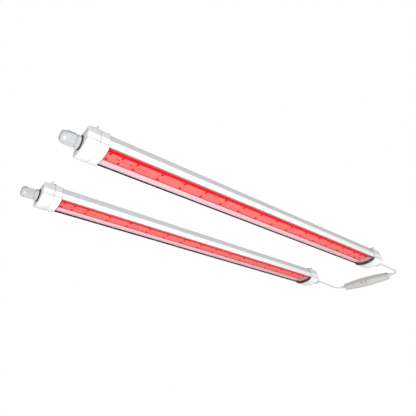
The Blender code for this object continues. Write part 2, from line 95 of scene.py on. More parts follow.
# Cross-section of a tube
GAP = 0.0003
KNEE_HEIGHT = 0.0175
LENS_DEPTH = 0.015
SHOULDER_HEIGHT = 0.0353
TOP_HALF_WIDTH = 0.0341
SHOULDER_BULGE = 0.0002
WALL = 0.002
CAP_PROUD = 0.0025
BAND_TOP = 0.075  # above every white piece
SEAM_HALF = 0.0005
SEAM_INSET = 0.0006  # of the seals' outer faces
SEAM_REACH = 0.0050  # of the seals' inner faces, from the wall's outside
LIP_END = 0.0095  # height that the +Y seal's lip reaches down to
LIP_THICKNESS = 0.0008
GROOVE_CHAMFER = 0.0013  # on both sides of the joint between cap and collar

# Board and reflector
BOARD_HALF_WIDTH = 0.0186
BOARD_FACE = 0.0226
BOARD_THICKNESS = 0.0016
LED_ROW = 0.0121
LED_PITCH = 0.0706
LED_SIDE = 0.0066
LED_DOME_RADIUS = 0.0032
LED_GAPS = (0.45, 0.575) + (1.0,) * 13 + (0.575, 0.45)  # in pitches, from end to end

# Gland and hanger
GLAND_HEIGHT = 0.0285
SHANK_RADIUS = 0.0123
LUG_X = -0.023
LUG_Y = 0.0275
PIVOT_HEIGHT = 0.0673
BAIL_ARM = 0.0232
BAIL_REACH = 0.032
BAIL_DROP = 0.0081
WIRE_RADIUS = 0.0015
NUT_TURN = {"near_a": radians(8), "near_b": radians(27), "far_a": radians(15), "far_b": radians(40)}

# Driver on the cable
DRIVER_CENTRE = Vector((0.7990, -0.0020, 0.0180))
DRIVER_HALF_LENGTH = 0.104
DRIVER_HALF_WIDTH = (0.012, 0.022)  # at the ends, in the middle
DRIVER_HALF_HEIGHT = (0.0132, 0.0178)
DRIVER_SQUARENESS = 0.62
DRIVER_WALL = 0.002
BOOT_HOLE = 0.0066
BOOT_LENGTH = 0.020
BOOT_RISE = 0.0025  # of the cables above the middle of the case

# Cables: the points that their centre lines pass through, from a tube's terminal block into the driver
CABLE_RADIUS = 0.0031
CABLE_ROUTE = {
    "a": [
        (0.5725, -0.1500, 0.0285), (0.6000, -0.1500, 0.0285), (0.6250, -0.1500, 0.0285),
        (0.6500, -0.1500, 0.0285), (0.6750, -0.1502, 0.0283), (0.7000, -0.1509, 0.0275),
        (0.7250, -0.1519, 0.0260), (0.7500, -0.1527, 0.0242), (0.7740, -0.1530, 0.0226),
        (0.7836, -0.1511, 0.0219), (0.7917, -0.1457, 0.0212), (0.7971, -0.1376, 0.0207),
        (0.7990, -0.1280, 0.0205), (0.7990, -0.1150, 0.0205), (0.7990, -0.1000, 0.0205),
        (0.7990, -0.0856, 0.0205),
    ],
    "b": [
        (0.5725, 0.1500, 0.0285), (0.6000, 0.1500, 0.0285), (0.6250, 0.1500, 0.0285),
        (0.6500, 0.1500, 0.0285), (0.6750, 0.1499, 0.0283), (0.7000, 0.1497, 0.0275),
        (0.7250, 0.1494, 0.0260), (0.7500, 0.1491, 0.0242), (0.7740, 0.1490, 0.0226),
        (0.7836, 0.1471, 0.0219), (0.7917, 0.1417, 0.0212), (0.7971, 0.1336, 0.0207),
        (0.7990, 0.1240, 0.0205), (0.7990, 0.1110, 0.0205), (0.7990, 0.0960, 0.0205),
        (0.7990, 0.0816, 0.0205),
    ],
}


# Light of the surroundings, towards the front and away from it
FRONT = (-0.35, -0.80, -0.50)
FRONT_LIGHT = 0.66
BACK_LIGHT = 0.44


# Camera, before everything else


def make_camera():
    """Below the near end of the front tube, looking up along both tubes."""
    place = Vector((-0.7996, -0.8652, -0.5105))
    aim = Vector((0.5463, 0.6882, 0.4774))
    data = bpy.data.cameras.new("camera")
    data.lens = 32.88
    data.sensor_width = 36.0
    data.clip_start = 0.02
    data.clip_end = 100.0
    camera = bpy.data.objects.new("camera", data)
    bpy.context.scene.collection.objects.link(camera)
    camera.location = place
    camera.rotation_euler = aim.to_track_quat("-Z", "Y").to_euler()
    bpy.context.scene.camera = camera


# Meshes


def soften(outline, radius, steps=3, least_turn=radians(18)):
    """Round the corners of a closed outline of (u, v) points."""
    result = []
    for before, corner, after in zip(outline[-1:] + outline[:-1], outline, outline[1:] + outline[:1]):
        corner = Vector(corner)
        back = Vector(before) - corner
        ahead = Vector(after) - corner
        turn = pi - back.angle(ahead)
        if turn < least_turn:
            result.append(tuple(corner))
            continue
        reach = min(radius * tan(turn / 2), 0.45 * back.length, 0.45 * ahead.length)
        start = corner + back.normalized() * reach
        end = corner + ahead.normalized() * reach
        for k in range(steps + 1):
            t = k / steps
            result.append(tuple((1 - t) ** 2 * start + 2 * t * (1 - t) * corner + t * t * end))
    return result


def finish_mesh(name, bm, smooth_angle=30):
    """Turn a bmesh into a smooth-shaded mesh whose faces point out."""
    bmesh.ops.recalc_face_normals(bm, faces=bm.faces)
    mesh = bpy.data.meshes.new(name)
    bm.to_mesh(mesh)
    bm.free()
    mesh.shade_smooth()
    mesh.set_sharp_from_angle(angle=radians(smooth_angle))
    return mesh


def skin(name, loops, ring=False, smooth_angle=30, creases=()):
    """Join loops of points with faces.  A ring joins its last loop to its first, others get end faces.

    creases are the places in a loop whose lines from loop to loop stay sharp.
    """
    bm = bmesh.new()
    rows = [[bm.verts.new(point) for point in loop] for loop in loops]
    count = len(rows[0])
    following = rows[1:] + rows[:1] if ring else rows[1:]
    for row, next_row in zip(rows, following):
        for i in range(count):
            j = (i + 1) % count
            bm.faces.new((row[i], row[j], next_row[j], next_row[i]))
    if not ring:
        bm.faces.new(rows[0])
        bm.faces.new(rows[-1])
    bm.verts.index_update()
    pairs = set()
    for row, next_row in zip(rows, following):
        for i in creases:
            pairs.add(frozenset((row[i].index, next_row[i].index)))
    mesh = finish_mesh(name, bm, smooth_angle)
    for edge in mesh.edges:
        if frozenset(edge.vertices) in pairs:
            edge.use_edge_sharp = True
    return mesh


def turned_x(name, profile, height=0.0, steps=96, turn=0.0, smooth_angle=30):
    """Turn a closed profile of (x, radius, hexagon corner or 0) points about an X line."""
    loops = []
    for x, radius, corner in profile:
        loop = []
        for i in range(steps):
            angle = 2 * pi * i / steps
            reach = radius
            if corner:
                from_flat = (angle - turn) % (pi / 3) - pi / 6
                reach = min(radius, corner * cos(pi / 6) / cos(from_flat))
            loop.append((x, reach * cos(angle), height + reach * sin(angle)))
        loops.append(loop)
    return skin(name, loops, ring=True, smooth_angle=smooth_angle)


def plain_profile(points, radius):
    """A softened (x, radius) outline as a profile for turned_x."""
    return [(x, r, 0) for x, r in soften(points, radius)]


def run_along_x(name, outline, half_length, creases=()):
    """An outline of (y, z) points run along a tube."""
    return skin(name, [[(x, y, z) for y, z in outline] for x in (-half_length, half_length)], creases=creases)


def sheet_along_x(name, outline, half_length, radius=0.0003):
    """The same with softened corners."""
    return run_along_x(name, soften(outline, radius), half_length)


def bodies_of(meshes):
    """Several (mesh, matrix) pairs in one bmesh."""
    bm = bmesh.new()
    for mesh, matrix in meshes:
        copy = mesh.copy()
        copy.transform(matrix)
        bm.from_mesh(copy)
        bpy.data.meshes.remove(copy)
    return bm


def pebble(name, size, edge, dome=0.0):
    """A small moulded body that stands down from z = 0, with slanted sides and a soft lower edge."""
    loops = []
    across, along, height = size
    for inset, z in ((0, 0), (0.2 * edge, -0.7 * height), (edge, -height), (2.2 * edge, -height - dome)):
        corners = [(along / 2 - inset, across / 2 - inset), (-along / 2 + inset, across / 2 - inset),
                   (-along / 2 + inset, -across / 2 + inset), (along / 2 - inset, -across / 2 + inset)]
        loops.append([(x, y, z) for x, y in soften(corners, edge)])
    return skin(name, loops, smooth_angle=50)


def evaluated(target, tools):
    """Apply (operation, mesh) Boolean steps to a mesh and return the result."""
    scene = bpy.context.scene.collection.objects
    holder = bpy.data.objects.new("holder", target)
    scene.link(holder)
    helpers = []
    for operation, mesh in tools:
        helper = bpy.data.objects.new("helper", mesh)
        scene.link(helper)
        helpers.append(helper)
        step = holder.modifiers.new("step", "BOOLEAN")
        step.operation = operation
        step.object = helper
    graph = bpy.context.evaluated_depsgraph_get()
    made = bpy.data.meshes.new_from_object(holder.evaluated_get(graph))
    for leftover in [holder] + helpers:
        bpy.data.objects.remove(leftover)
    made.shade_smooth()
    made.set_sharp_from_angle(angle=radians(30))
    return made


def rod(name, start, end, radius, steps=48):
    """A round bar between two points."""
    start, end = Vector(start), Vector(end)
    turn = (end - start).to_track_quat("Z", "Y")
    loops = []
    for place in (start, end):
        angles = [2 * pi * i / steps for i in range(steps)]
        loops.append([place + turn @ Vector((radius * cos(a), radius * sin(a), 0)) for a in angles])
    return skin(name, loops)


def smooth_points(route, spacing):
    """Points at about this spacing along a Catmull-Rom curve through the route."""
    route = [Vector(point) for point in route]
    padded = [2 * route[0] - route[1]] + route + [2 * route[-1] - route[-2]]
    points = []
    for a, b, c, d in zip(padded, padded[1:], padded[2:], padded[3:]):
        steps = max(1, round((c - b).length / spacing))
        for i in range(steps):
            t = i / steps
            points.append(0.5 * ((2 * b) + (c - a) * t + (2 * a - 5 * b + 4 * c - d) * t ** 2
                                 + (3 * b - a - 3 * c + d) * t ** 3))
    return points + [route[-1]]


def swept_tube(name, points, radius, steps=20):
    """A round wire along these points, closed at both ends."""
    loops = []
    for i, point in enumerate(points):
        ahead = points[min(i + 1, len(points) - 1)] - points[max(i - 1, 0)]
        side = ahead.cross(Vector((0.31, 0.05, 0.95))).normalized()
        across = ahead.cross(side).normalized()
        angles = [2 * pi * k / steps for k in range(steps)]
        loops.append([point + radius * (cos(a) * side + sin(a) * across) for a in angles])
    return skin(name, loops, smooth_angle=50)


# Section of a tube


def lens_arc(grow, steps=40):
    """The half ellipse below the knee, from the -Y side to the +Y side."""
    angles = [pi + pi * i / steps for i in range(steps + 1)]
    return [((HALF_WIDTH + grow) * cos(a), KNEE_HEIGHT + (LENS_DEPTH + grow) * sin(a)) for a in angles]


def shoulder(grow, side, steps=8):
    """The shallow bend from the upright wall to the edge of the flat top, on one side."""
    foot = Vector((HALF_WIDTH + grow, SHOULDER_HEIGHT))
    head = Vector((TOP_HALF_WIDTH + 0.75 * grow, BODY_TOP + grow))
    chord = head - foot
    out = Vector((chord.y, -chord.x)).normalized()
    points = []
    for i in range(steps + 1):
        t = i / steps
        point = foot + chord * t + out * 4 * t * (1 - t) * SHOULDER_BULGE
        points.append((side * point.x, point.y))
    return points


def body_outline(grow, edge=0.0008):
    """The whole closed section, grown outwards by this much, with soft corners at the top."""
    return soften(lens_arc(grow) + shoulder(grow, 1) + shoulder(grow, -1)[::-1], edge, 4, radians(30))


def section(x, grow):
    """The body's outline as a loop of points at one place along X."""
    return [(x, y, z) for y, z in body_outline(grow)]


def shoulder_creases():
    """Places in a body outline where the wall meets the shoulder."""
    outline = body_outline(0)
    return [i for i, (y, z) in enumerate(outline) if abs(z - SHOULDER_HEIGHT) < 1e-6]


def led_places():
    """Places of the LEDs along the board."""
    x = -sum(LED_GAPS) * LED_PITCH / 2
    places = [x]
    for gap in LED_GAPS:
        x += gap * LED_PITCH
        places.append(x)
    return places


# Materials


def start_material(name, roughness, **sockets):
    """A material with a Principled shader, as (material, tree, shader)."""
    made = bpy.data.materials.new(name)
    made.use_nodes = True
    shader = made.node_tree.nodes["Principled BSDF"]
    shader.inputs["Roughness"].default_value = roughness
    for socket, value in sockets.items():
        shader.inputs[socket.replace("_", " ")].default_value = value
    return made, made.node_tree, shader


def add(tree, kind, **settings):
    """A node with some of its properties set."""
    node = tree.nodes.new("ShaderNode" + kind)
    for name, value in settings.items():
        setattr(node, name, value)
    return node


def object_point(tree, stretch=(1, 1, 1)):
    """A piece's own coordinates, stretched."""
    coordinates = add(tree, "TexCoord")
    mapping = add(tree, "Mapping")
    mapping.inputs["Scale"].default_value = stretch
    tree.links.new(coordinates.outputs["Object"], mapping.inputs["Vector"])
    return mapping.outputs["Vector"]


def noise(tree, scale, detail=3.0, stretch=(1, 1, 1)):
    """Smooth noise from 0 to 1 over a piece."""
    node = add(tree, "TexNoise")
    node.inputs["Scale"].default_value = scale
    node.inputs["Detail"].default_value = detail
    tree.links.new(object_point(tree, stretch), node.inputs["Vector"])
    return node.outputs["Fac"]


def maths(tree, operation, a, b=0.0, c=0.0):
    """One arithmetic step on sockets or numbers."""
    node = add(tree, "Math", operation=operation)
    for place, value in zip(node.inputs, (a, b, c)):
        if isinstance(value, (int, float)):
            place.default_value = value
        else:
            tree.links.new(value, place)
    return node.outputs[0]


def ramp(tree, source, stops):
    """Colours or greys between places along a value."""
    node = add(tree, "ValToRGB")
    elements = node.color_ramp.elements
    while len(elements) < len(stops):
        elements.new(0.5)
    for element, (place, colour) in zip(elements, stops):
        element.position = place
        element.color = (*colour, 1.0) if isinstance(colour, tuple) else (colour, colour, colour, 1.0)
    tree.links.new(source, node.inputs["Fac"])
    return node.outputs["Color"]


def mix(tree, factor, first, second):
    """Blend two colours, each a socket or an (r, g, b)."""
    node = add(tree, "Mix", data_type="RGBA")
    places = [place for place in node.inputs if place.type == "RGBA"]
    tree.links.new(factor, node.inputs["Factor"])
    for place, value in zip(places, (first, second)):
        if isinstance(value, tuple):
            place.default_value = (*value, 1.0)
        else:
            tree.links.new(value, place)
    return [made for made in node.outputs if made.type == "RGBA"][0]


def multiplied(tree, first, second):
    """Two colours multiplied."""
    node = add(tree, "Mix", data_type="RGBA", blend_type="MULTIPLY")
    node.inputs["Factor"].default_value = 1.0
    places = [place for place in node.inputs if place.type == "RGBA"]
    tree.links.new(first, places[0])
    tree.links.new(second, places[1])
    return [made for made in node.outputs if made.type == "RGBA"][0]


def bump(tree, shader, height, strength, distance):
    """Raise the surface by a height pattern."""
    node = add(tree, "Bump")
    node.inputs["Strength"].default_value = strength
    node.inputs["Distance"].default_value = distance
    tree.links.new(height, node.inputs["Height"])
    tree.links.new(node.outputs["Normal"], shader.inputs["Normal"])


def moulded(name, light, dark, roughness, grain, depth=0.00004, spread=0.10, **sockets):
    """Moulded plastic or rubber: slow colour clouds, fine grain, and uneven gloss."""
    made, tree, shader = start_material(name, roughness, **sockets)
    cloud = noise(tree, 14.0, 4.0)
    fine = noise(tree, grain, 2.0)
    tone = ramp(tree, cloud, [(0.30, dark), (0.70, light)])
    speck = ramp(tree, fine, [(0.25, 0.94), (0.60, 1.0)])
    tree.links.new(multiplied(tree, tone, speck), shader.inputs["Base Color"])
    gloss = ramp(tree, cloud, [(0.3, roughness - spread / 2), (0.7, roughness + spread / 2)])
    tree.links.new(gloss, shader.inputs["Roughness"])
    bump(tree, shader, fine, 0.5, depth)
    return made


def banded(name, bands, roughness, grain, depth, joint=0.0):
    """White plastic with painted shade in bands by height, slow clouds, fine grain and uneven gloss.

    A thin line of painted shade lies in the groove at the joint, an own x.
    """
    made, tree, shader = start_material(name, roughness)
    x, _, height = split_point(tree)
    level = maths(tree, "DIVIDE", height, BAND_TOP)
    tone = ramp(tree, level, [(z / BAND_TOP, colour) for z, colour in bands])
    if joint:
        beside = maths(tree, "ABSOLUTE", maths(tree, "SUBTRACT", x, joint))
        # Painted shade along the groove between cap and collar.
        groove_shade_width, groove_shade = 0.0016, (0.46, 0.45, 0.45)
        unshaded = ramp(tree, maths(tree, "DIVIDE", beside, groove_shade_width), [(0.40, 0.0), (0.95, 1.0)])
        tone = mix(tree, unshaded, groove_shade, tone)
    cloud = noise(tree, 10.0, 4.0)
    fine = noise(tree, grain, 2.0)
    veil = ramp(tree, cloud, [(0.30, 0.965), (0.70, 1.0)])
    tree.links.new(multiplied(tree, tone, veil), shader.inputs["Base Color"])
    gloss = ramp(tree, cloud, [(0.3, roughness - 0.04), (0.7, roughness + 0.05)])
    tree.links.new(gloss, shader.inputs["Roughness"])
    bump(tree, shader, fine, 0.5, depth)
    return made


def streaked(name, light, dark, roughness, stretch, depth, **sockets):
    """Extruded, drawn or brushed surface: streaks along X."""
    made, tree, shader = start_material(name, roughness, **sockets)
    streak = noise(tree, 900.0, 3.0, stretch)
    cloud = noise(tree, 6.0, 3.0)
    both = maths(tree, "MULTIPLY_ADD", streak, 0.5, maths(tree, "MULTIPLY", cloud, 0.5))
    tree.links.new(ramp(tree, both, [(0.35, dark), (0.62, light)]), shader.inputs["Base Color"])
    gloss = ramp(tree, both, [(0.35, roughness + 0.06), (0.65, roughness - 0.05)])
    tree.links.new(gloss, shader.inputs["Roughness"])
    bump(tree, shader, streak, 0.4, depth)
    return made


def lens_material():
    """Clear plastic that gathers a dark line where it is seen edge-on."""
    made, tree, shader = start_material("lens_clear", 0.06, IOR=1.49)
    edge = add(tree, "LayerWeight")
    edge.inputs["Blend"].default_value = 0.5
    facing = edge.outputs["Facing"]
    haze = noise(tree, 40.0, 3.0, (0.1, 1, 1))
    tint = ramp(tree, facing, [(0.70, (0.30, 0.10, 0.13)), (0.86, (0.075, 0.026, 0.038))])
    cover = ramp(tree, facing, [(0.0, 0.004), (0.86, 0.012), (0.955, 0.50), (0.985, 0.95)])
    smear = ramp(tree, haze, [(0.40, 0.0), (0.75, 0.006)])
    tree.links.new(tint, shader.inputs["Base Color"])
    tree.links.new(maths(tree, "ADD", cover, smear), shader.inputs["Alpha"])
    gloss = ramp(tree, haze, [(0.35, 0.04), (0.75, 0.13)])
    tree.links.new(gloss, shader.inputs["Roughness"])
    return made


def split_point(tree):
    """A piece's own x, y and z as three values."""
    parts = add(tree, "SeparateXYZ")
    tree.links.new(object_point(tree), parts.inputs["Vector"])
    return parts.outputs["X"], parts.outputs["Y"], parts.outputs["Z"]


def led_glow(tree, reach):
    """Painted pools of light round the LEDs, 1 on an LED and 0 beyond this reach."""
    x, y, _ = split_point(tree)
    along = maths(tree, "PINGPONG", maths(tree, "ADD", x, LED_PITCH / 2), LED_PITCH / 2)
    across = maths(tree, "SUBTRACT", maths(tree, "ABSOLUTE", y), LED_ROW)
    square = maths(tree, "MULTIPLY_ADD", along, along, maths(tree, "MULTIPLY", across, across))
    distance = maths(tree, "SQRT", square)
    return maths(tree, "SUBTRACT", 1.0, maths(tree, "MINIMUM", maths(tree, "DIVIDE", distance, reach), 1.0))


def across_tube(tree):
    """Place across a tube: 0 on the -Y wall, 1 on the +Y wall."""
    _, y, _ = split_point(tree)
    return maths(tree, "MULTIPLY_ADD", y, 1 / (2 * HALF_WIDTH), 0.5)


def share(y):
    """The same place as a number, for a y from the tube's axis."""
    return 0.5 + y / (2 * HALF_WIDTH)


def reflector_material():
    """White folded sheet with painted red light: deep red on the -Y wing, pale pink on the +Y wing, and a
    painted red glow.

    A painted shadow darkens the -Y wing past the last LEDs.
    """
    made, tree, shader = start_material("reflector_lit", 0.35, Emission_Strength=1.0, Specular_IOR_Level=0.06)
    place = across_tube(tree)
    red, edge = (0.42, 0.001, 0.003), (0.30, 0.004, 0.010)
    pink, pale = (0.70, 0.47, 0.50), (0.77, 0.60, 0.63)
    # Painted red light of the LEDs: deep red on the -Y wing, pale pink on the +Y wing.
    bands = ramp(tree, place, [(share(-0.030), red), (share(0.0186), edge), (share(0.0204), edge),
                               (share(0.0212), pink), (share(0.034), pale)])
    streak = noise(tree, 300.0, 3.0, (0.05, 1, 1))
    # Painted red glow of the LEDs' light on the sheet, which is no lamp.
    own = ramp(tree, place, [(share(-0.030), (0.55, 0.0, 0.002)), (share(0.0186), (0.34, 0.004, 0.008)),
                             (share(0.0204), (0.34, 0.004, 0.008)), (share(0.0212), (0.12, 0.055, 0.061))])
    x, y, _ = split_point(tree)
    # Painted shadow over the -Y wing past the last LEDs.
    shadow_start, slant, fade = 0.5900, 2.2, 0.012
    reach = maths(tree, "MULTIPLY_ADD", y, slant, shadow_start)
    depth = maths(tree, "MULTIPLY", maths(tree, "SUBTRACT", x, reach), 1 / fade)
    lit = ramp(tree, depth, [(0.0, 1.0), (1.0, 0.04)])
    shade = maths(tree, "MULTIPLY", lit, ramp(tree, streak, [(0.30, 0.92), (0.65, 1.0)]))
    tree.links.new(mix(tree, shade, (0.0, 0.0, 0.0), bands), shader.inputs["Base Color"])
    tree.links.new(mix(tree, shade, (0.0, 0.0, 0.0), own), shader.inputs["Emission Color"])
    gloss = ramp(tree, streak, [(0.3, 0.30), (0.7, 0.42)])
    tree.links.new(gloss, shader.inputs["Roughness"])
    bump(tree, shader, streak, 0.25, 0.00003)
    return made


def board_material():
    """Solder mask with painted red light of its own LEDs and a painted red glow, with faint copper lines
    below it.
    """
    made, tree, shader = start_material("board_lit", 0.42, Emission_Strength=1.0, Specular_IOR_Level=0.08)
    glow = led_glow(tree, 0.010)
    mottle = noise(tree, 70.0, 4.0)
    both = maths(tree, "MULTIPLY_ADD", mottle, 0.30, maths(tree, "MULTIPLY", glow, 0.7))
    pink, warm = (0.50, 0.140, 0.132), (0.50, 0.100, 0.090)
    middle = ramp(tree, both, [(0.10, pink), (0.80, warm)])
    place = across_tube(tree)
    # Painted red light on both edges of the board.
    lit = ramp(tree, place, [(share(-0.0176), 1.0), (share(-0.0138), 0.0),
                             (share(0.0176), 0.0), (share(0.0180), 0.9)])
    red = (0.44, 0.001, 0.003)
    tree.links.new(mix(tree, lit, middle, red), shader.inputs["Base Color"])
    # Painted red glow: the board is no lamp.
    own = mix(tree, lit, (0.46, 0.045, 0.043), (0.55, 0.0, 0.002))
    tree.links.new(own, shader.inputs["Emission Color"])
    _, y, _ = split_point(tree)
    lines = maths(tree, "PINGPONG", maths(tree, "ADD", y, 0.0021), 0.0021)
    copper = ramp(tree, maths(tree, "DIVIDE", lines, 0.0021), [(0.30, 0.0), (0.40, 1.0)])
    bump(tree, shader, copper, 0.4, 0.00004)
    return made


def led_material():
    """Lit red domes, a little uneven."""
    made, tree, shader = start_material("led_lit_red", 0.35, Emission_Strength=1.0, Specular_IOR_Level=0.10)
    cloud = noise(tree, 700.0, 2.0)
    own = ramp(tree, cloud, [(0.3, (0.70, 0.0, 0.002)), (0.7, (0.76, 0.0, 0.002))])
    tree.links.new(own, shader.inputs["Emission Color"])
    tree.links.new(ramp(tree, cloud, [(0.3, (0.10, 0.0, 0.001)), (0.7, (0.14, 0.0, 0.002))]),
                   shader.inputs["Base Color"])
    return made


def circuit_material(name, base, track):
    """Solder mask with tracks under it."""
    made, tree, shader = start_material(name, 0.4)
    cells = add(tree, "TexVoronoi", distance="CHEBYCHEV")
    cells.inputs["Scale"].default_value = 260.0
    tree.links.new(object_point(tree), cells.inputs["Vector"])
    lines = ramp(tree, cells.outputs["Distance"], [(0.30, track), (0.38, base)])
    tree.links.new(lines, shader.inputs["Base Color"])
    bump(tree, shader, cells.outputs["Distance"], 0.3, 0.00005)
    return made


def make_materials():
    """One material for each kind of surface."""
    white = (0.89, 0.89, 0.89)
    wall_end, shoulder_start = SHOULDER_HEIGHT - 0.0004, SHOULDER_HEIGHT + 0.0002
    # Painted shade: the housing's shoulder is painted grey above the white wall.
    housing_shade_bands = [(wall_end, (0.88, 0.88, 0.895)), (shoulder_start, (0.66, 0.66, 0.69))]
    # Painted shade on the cap: a grey band at knee height and a grey shoulder; the ears above stay white.
    cap_shade_bands = [(0.0120, white), (0.0165, (0.76, 0.725, 0.73)), (0.0200, (0.68, 0.655, 0.66)),
                 (0.0250, (0.89, 0.885, 0.885)), (wall_end, white), (shoulder_start, (0.78, 0.78, 0.79)),
                 (BODY_TOP + 0.0030, (0.78, 0.78, 0.79)), (BODY_TOP + 0.0040, white)]
    return {
        "housing": banded("housing_white", housing_shade_bands, 0.34, 900.0, 0.00001),
        "cap": banded("cap_white", cap_shade_bands, 0.25, 900.0, 0.00001, COLLAR_START),
        "lens": lens_material(),
        # Painted light: the -Y seam's bead takes a lighter copy of the seal rubber.
        "lit_seal": moulded("seal_rubber_painted_lit", (0.32, 0.26, 0.27), (0.26, 0.21, 0.22), 0.6, 1500.0),
        "seal": moulded("seal_rubber", (0.080, 0.032, 0.044), (0.050, 0.022, 0.030), 0.72, 1500.0),
        "reflector": reflector_material(),
        "board": board_material(),
        "led": led_material(),
        "led_base": moulded("led_base_lit", (0.20, 0.001, 0.003), (0.14, 0.001, 0.002), 0.5, 2500.0, 0.00002,
                            Specular_IOR_Level=0.1, Emission_Color=(0.62, 0.0, 0.002, 1.0),
                            Emission_Strength=1.0),
        # Painted red light of the LEDs on the board's parts.
        "chip": moulded("chip_lit", (0.58, 0.045, 0.052), (0.48, 0.030, 0.036), 0.5, 2500.0, 0.00002,
                        Specular_IOR_Level=0.1),
        "plate": moulded("end_plate_grey", (0.60, 0.585, 0.58), (0.52, 0.505, 0.50), 0.5, 900.0, 0.00005),
        "terminal": moulded("terminal_cream", (0.76, 0.72, 0.60), (0.68, 0.64, 0.53), 0.5, 1200.0),
        "gasket": moulded("gasket_black", (0.020, 0.018, 0.019), (0.012, 0.011, 0.012), 0.7, 1400.0),
        "gland": moulded("gland_grey", (0.52, 0.54, 0.55), (0.46, 0.48, 0.49), 0.38, 1300.0, 0.00003),
        "insert": moulded("insert_rubber", (0.16, 0.16, 0.17), (0.10, 0.10, 0.11), 0.75, 1400.0),
        "wire": streaked("wire_steel", (0.34, 0.34, 0.35), (0.20, 0.20, 0.21), 0.32, (1, 0.05, 1), 0.00001,
                         Metallic=1.0),
        # Painted light and shade: the case's two halves are copies of one grey, the upper one darker, the
        # lower one lighter.
        "driver": moulded("driver_upper_shaded_grey", (0.50, 0.478, 0.455), (0.46, 0.438, 0.415), 0.5, 2600.0, 0.00002),
        "driver_lower_lit": moulded("driver_lower_lit_grey", (0.66, 0.648, 0.63), (0.61, 0.598, 0.58), 0.5, 2600.0,
                              0.00002),
        "label": moulded("driver_label", (0.56, 0.54, 0.52), (0.53, 0.51, 0.49), 0.35, 2600.0, 0.00001),
        "stroke": moulded("driver_label_strokes", (0.36, 0.34, 0.33), (0.31, 0.295, 0.285), 0.4, 2600.0,
                          0.00001),
        "circuit": circuit_material("circuit_green", (0.03, 0.16, 0.06), (0.08, 0.30, 0.12)),
        "winding": moulded("winding_tape", (0.72, 0.60, 0.16), (0.62, 0.50, 0.12), 0.4, 800.0),
        "boot": moulded("boot_grey", (0.70, 0.70, 0.69), (0.64, 0.64, 0.63), 0.6, 1500.0, 0.00005),
        "cable": moulded("cable_sheath", (0.70, 0.70, 0.70), (0.64, 0.64, 0.64), 0.48, 1200.0, 0.00003),
    }


# Putting pieces in place


def piece(name, data, finish, matrix, body, replaced=()):
    """A named piece on its body, standing for its CAD nodes."""
    made = bpy.data.objects.new(name, data)
    bpy.context.scene.collection.objects.link(made)
    if not data.materials:
        data.materials.append(finish)
    made.matrix_world = matrix
    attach(made, body)
    if replaced:
        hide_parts(*replaced)
    return made


# Pieces that run along a tube


def extrusion_mesh():
    """Channel with a flat grooved top, shallow shoulders and rounded feet."""
    foot = KNEE_HEIGHT + SEAM_HALF + GAP
    groove = [(0.0150, 0.0), (0.0150, -0.0007), (0.0163, -0.0007), (0.0163, 0.0)]
    right = [(y, BODY_TOP + z) for y, z in groove]
    left = [(-y, z) for y, z in right[::-1]]
    top = right[::-1] + left[::-1]
    outer = [(HALF_WIDTH, foot)] + shoulder(0, 1) + top + shoulder(0, -1)[::-1] + [(-HALF_WIDTH, foot)]
    plain = [(HALF_WIDTH, foot)] + shoulder(0, 1) + shoulder(0, -1)[::-1] + [(-HALF_WIDTH, foot)]
    inner = [(y * (HALF_WIDTH - WALL) / HALF_WIDTH, z - WALL * (z > SHOULDER_HEIGHT)) for y, z in plain]
    outline = soften(outer + inner[::-1], 0.0005, 3, radians(25))
    creases = [i for i, (y, z) in enumerate(outline)
               if abs(z - SHOULDER_HEIGHT) < 1e-6 and abs(y) > HALF_WIDTH - WALL / 2]
    return run_along_x("extrusion", outline, BODY_HALF_LENGTH, creases)


def window_mesh():
    """Clear cover, half an ellipse in section, with thickened lips."""
    lip = KNEE_HEIGHT - SEAM_HALF - GAP
    lines = []
    for grow in (0, -WALL):
        edge = HALF_WIDTH + grow
        arc = [point for point in lens_arc(grow, 56) if point[1] < lip - 0.0004]
        lines.append([(-edge, lip)] + arc + [(edge, lip)])
    outline = soften(lines[0] + lines[1][::-1], 0.0003, 3, radians(50))
    return run_along_x("window", outline, BODY_HALF_LENGTH)


def seam_mesh():
    """Rubber bead for the -Y seam, between window and housing."""
    low = KNEE_HEIGHT - SEAM_HALF
    high = KNEE_HEIGHT + SEAM_HALF
    outer = SEAM_INSET - HALF_WIDTH
    inner = SEAM_REACH - HALF_WIDTH
    outline = [(outer, low), (inner, low), (inner, high), (outer, high)]
    return sheet_along_x("seam", outline, INNER_HALF_LENGTH)


def lipped_seam_mesh():
    """Rubber bead for the +Y seam, with a lip that runs down the window's inside."""
    low = KNEE_HEIGHT - SEAM_HALF
    high = KNEE_HEIGHT + SEAM_HALF
    outer = HALF_WIDTH - SEAM_INSET
    inner = HALF_WIDTH - SEAM_REACH
    lip_top = low - GAP
    face = [(y, z) for y, z in lens_arc(-WALL - GAP, 64) if y > 0 and LIP_END < z < lip_top]
    back = [(y - LIP_THICKNESS, z) for y, z in face]
    outline = [(inner, low), (back[-1][0], low)] + back[::-1]
    outline += face + [(face[-1][0], low), (outer, low), (outer, high), (inner, high)]
    return sheet_along_x("lipped_seam", outline, INNER_HALF_LENGTH, 0.0001)


def tray_mesh():
    """Folded sheet: a channel for the board, a sloping wing on each side and a flat rim."""
    rim = KNEE_HEIGHT + SEAM_HALF + GAP
    seat = BOARD_HALF_WIDTH + 2 * GAP
    roof = BOARD_FACE + BOARD_THICKNESS + GAP
    edge = HALF_WIDTH - WALL - 1.5 * GAP
    step = 0.001
    lower = [(edge, rim), (edge - 0.0026, rim), (seat, BOARD_FACE), (seat, roof)]
    upper = [(edge, rim + step), (edge - 0.0026, rim + step), (seat + step, BOARD_FACE + step),
             (seat + step, roof + step)]
    line = lower + [(-y, z) for y, z in lower[::-1]]
    back = upper + [(-y, z) for y, z in upper[::-1]]
    return sheet_along_x("tray", line + back[::-1], INNER_HALF_LENGTH, 0.0006)


